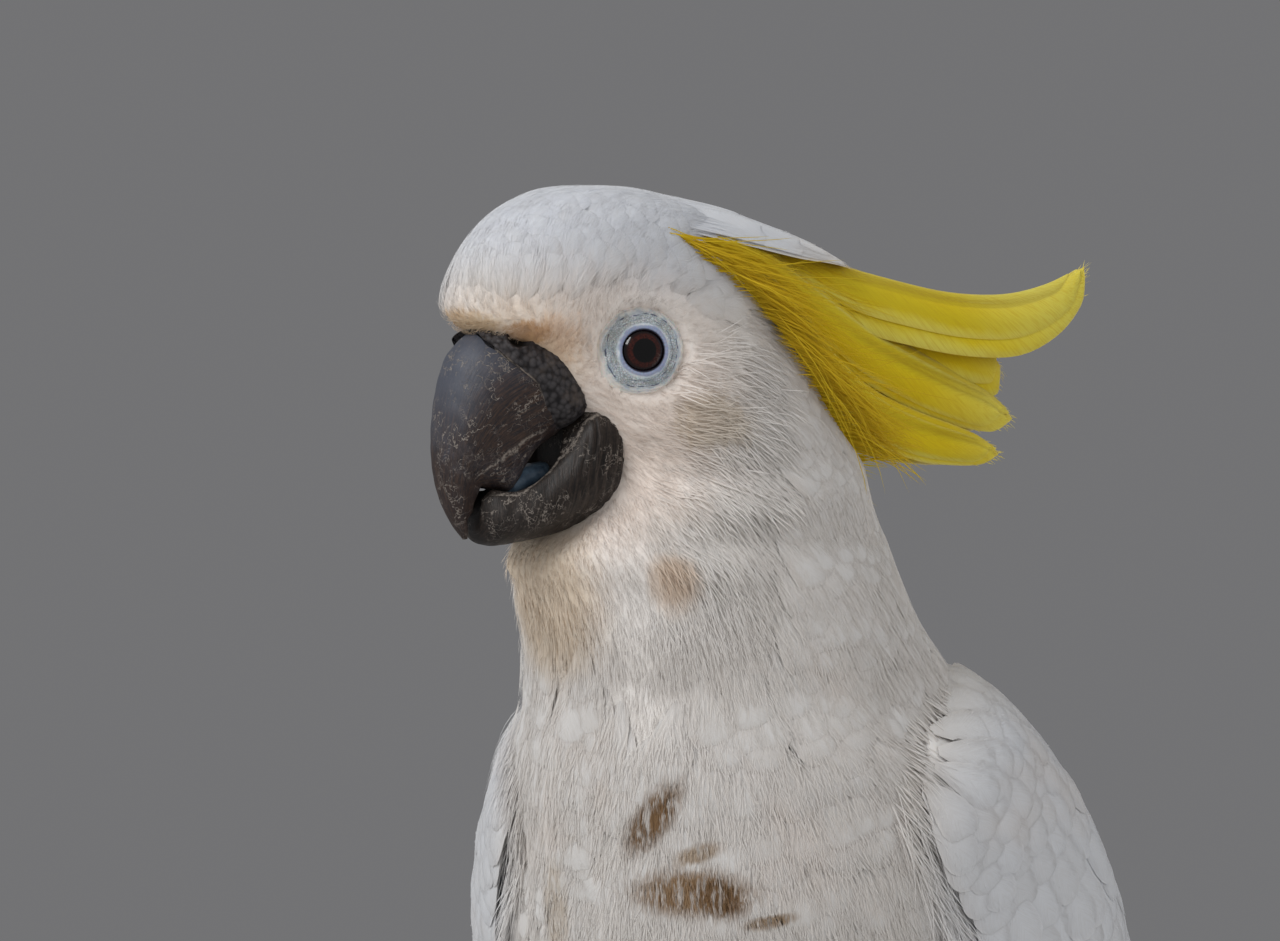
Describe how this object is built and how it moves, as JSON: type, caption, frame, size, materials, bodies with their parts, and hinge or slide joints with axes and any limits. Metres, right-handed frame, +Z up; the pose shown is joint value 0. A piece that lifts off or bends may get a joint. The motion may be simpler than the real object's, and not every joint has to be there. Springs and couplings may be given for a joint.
{
  "type": "sulphur-crested cockatoo",
  "caption": "Life-size still model of a white cockatoo standing on both feet, yellow crest laid back, head turned to its right, hooked bill slightly open.",
  "frame": {"origin": "on the floor, under the middle of the bounding box", "axes": "+Z up; the bird's body faces -Y and its left side is +X"},
  "size_m": [0.1538, 0.3455, 0.3607],
  "materials": {
    "plumage": "soft matt white feathers",
    "flight_feathers": "smooth satin white vanes",
    "crest": "soft lemon yellow feathers, paler at the edges",
    "bill": "dark grey horn with a bluish bloom and pale flaking lines",
    "claw": "dark horn, slightly polished",
    "cere_skin": "black bare pebbled skin",
    "ring_skin": "bare wrinkled skin, pale blue-white",
    "foot_skin": "dark grey scaled skin",
    "tongue": "moist blue-grey",
    "eye": "wet, dark brown, nearly black"
  },
  "bodies": {
    "root": {"head": "plumage", "neck": "plumage", "trunk": "plumage", "tail_coverts": "plumage", "tail": "flight_feathers", "wing_coverts_left": "plumage", "wing_secondaries_left": "flight_feathers", "wing_primaries_left": "flight_feathers", "thigh_left": "plumage", "foot_left": "foot_skin", "eye_left": "eye", "eye_ring_left": "ring_skin", "crest_lower_left": "crest", "crest_hind_left": "crest", "claw_inner_front_left": "claw", "claw_outer_front_left": "claw", "claw_outer_hind_left": "claw", "claw_inner_hind_left": "claw", "wing_coverts_right": "plumage", "wing_secondaries_right": "flight_feathers", "wing_primaries_right": "flight_feathers", "thigh_right": "plumage", "foot_right": "foot_skin", "eye_right": "eye", "eye_ring_right": "ring_skin", "crest_lower_right": "crest", "crest_hind_right": "crest", "claw_inner_front_right": "claw", "claw_outer_front_right": "claw", "claw_outer_hind_right": "claw", "claw_inner_hind_right": "claw", "crest_white": "plumage", "crest_upper": "crest", "crest_middle": "crest", "bill_upper": "bill", "bill_lower": "bill", "cere": "cere_skin", "tongue": "tongue"}
  },
  "joints": []
}
